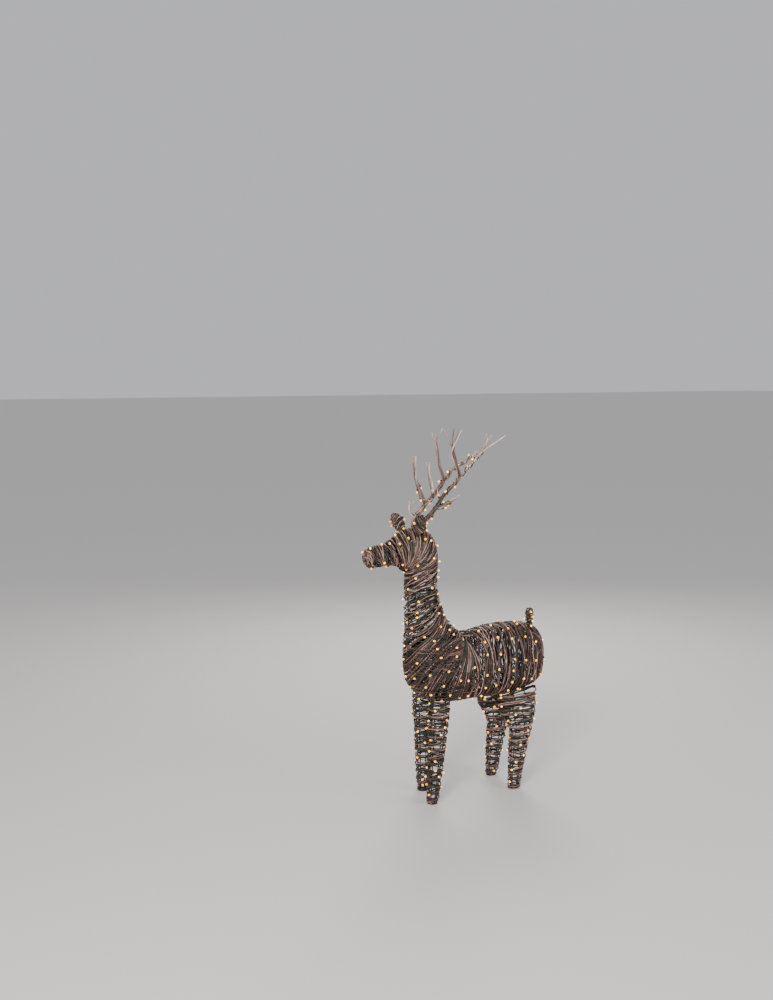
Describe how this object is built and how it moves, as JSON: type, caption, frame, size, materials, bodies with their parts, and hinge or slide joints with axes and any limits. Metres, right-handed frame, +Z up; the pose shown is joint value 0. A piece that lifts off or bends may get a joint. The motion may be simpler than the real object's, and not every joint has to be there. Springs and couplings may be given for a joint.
{
  "type": "light up yard reindeer",
  "caption": "Standing wicker-wound reindeer figure on a welded wire frame, strung with warm lights, with plug-in legs and antlers.",
  "frame": {"origin": "on the ground, under the middle of the figure", "axes": "+Z up; the nose points to -Y; the reindeer's own left is +X"},
  "size_m": [0.2304, 0.6892, 1.3022],
  "materials": {
    "frame_paint": "satin",
    "strand": "matte",
    "antler_strand": "matte",
    "light_cable": "satin",
    "moulding": "satin"
  },
  "bodies": {
    "torso": {"back_rod": "frame_paint", "left_flank_rod": "frame_paint", "belly_rod": "frame_paint", "right_flank_rod": "frame_paint", "rump_ring": "frame_paint", "hip_ring": "frame_paint", "waist_ring": "frame_paint", "shoulder_ring": "frame_paint", "chest_ring": "frame_paint", "neck_base_ring": "frame_paint", "neck_ring": "frame_paint", "throat_ring": "frame_paint", "crown_ring": "frame_paint", "brow_ring": "frame_paint", "muzzle_ring": "frame_paint", "left_ear_frame": "frame_paint", "right_ear_frame": "frame_paint", "tail_frame": "frame_paint", "front_leg_bracket": "frame_paint", "hind_leg_bracket": "frame_paint", "antler_bracket": "frame_paint", "torso_wicker": "strand", "neck_wicker": "strand", "head_wicker": "strand", "left_ear_wicker": "strand", "right_ear_wicker": "strand", "tail_wicker": "strand", "torso_light_wire": "light_cable", "neck_light_wire": "light_cable", "head_light_wire": "light_cable", "lead_gland": "moulding"},
    "front_left_leg": {"front_left_leg_frame": "frame_paint", "front_left_leg_foot_ring": "moulding", "front_left_leg_wicker": "strand", "front_left_leg_light_wire": "light_cable"},
    "front_right_leg": {"front_right_leg_frame": "frame_paint", "front_right_leg_foot_ring": "moulding", "front_right_leg_wicker": "strand", "front_right_leg_light_wire": "light_cable"},
    "hind_left_leg": {"hind_left_leg_frame": "frame_paint", "hind_left_leg_foot_ring": "moulding", "hind_left_leg_wicker": "strand", "hind_left_leg_light_wire": "light_cable"},
    "hind_right_leg": {"hind_right_leg_frame": "frame_paint", "hind_right_leg_foot_ring": "moulding", "hind_right_leg_wicker": "strand", "hind_right_leg_light_wire": "light_cable"},
    "left_antler": {"left_antler_frame": "frame_paint", "left_antler_wicker": "antler_strand", "left_antler_light_wire": "light_cable"},
    "right_antler": {"right_antler_frame": "frame_paint", "right_antler_wicker": "antler_strand", "right_antler_light_wire": "light_cable"}
  },
  "joints": [
    {"name": "front_left_leg_pull", "type": "slide", "parent": "torso", "child": "front_left_leg", "axis": [0, 0, -1], "range_m": [0, 0.075]},
    {"name": "front_right_leg_pull", "type": "slide", "parent": "torso", "child": "front_right_leg", "axis": [0, 0, -1], "range_m": [0, 0.075]},
    {"name": "hind_left_leg_pull", "type": "slide", "parent": "torso", "child": "hind_left_leg", "axis": [0, 0, -1], "range_m": [0, 0.075]},
    {"name": "hind_right_leg_pull", "type": "slide", "parent": "torso", "child": "hind_right_leg", "axis": [0, 0, -1], "range_m": [0, 0.075]},
    {"name": "left_antler_pull", "type": "slide", "parent": "torso", "child": "left_antler", "axis": [0.195, 0.39, 0.8999], "range_m": [0, 0.05]},
    {"name": "right_antler_pull", "type": "slide", "parent": "torso", "child": "right_antler", "axis": [-0.195, 0.39, 0.8999], "range_m": [0, 0.05]}
  ]
}
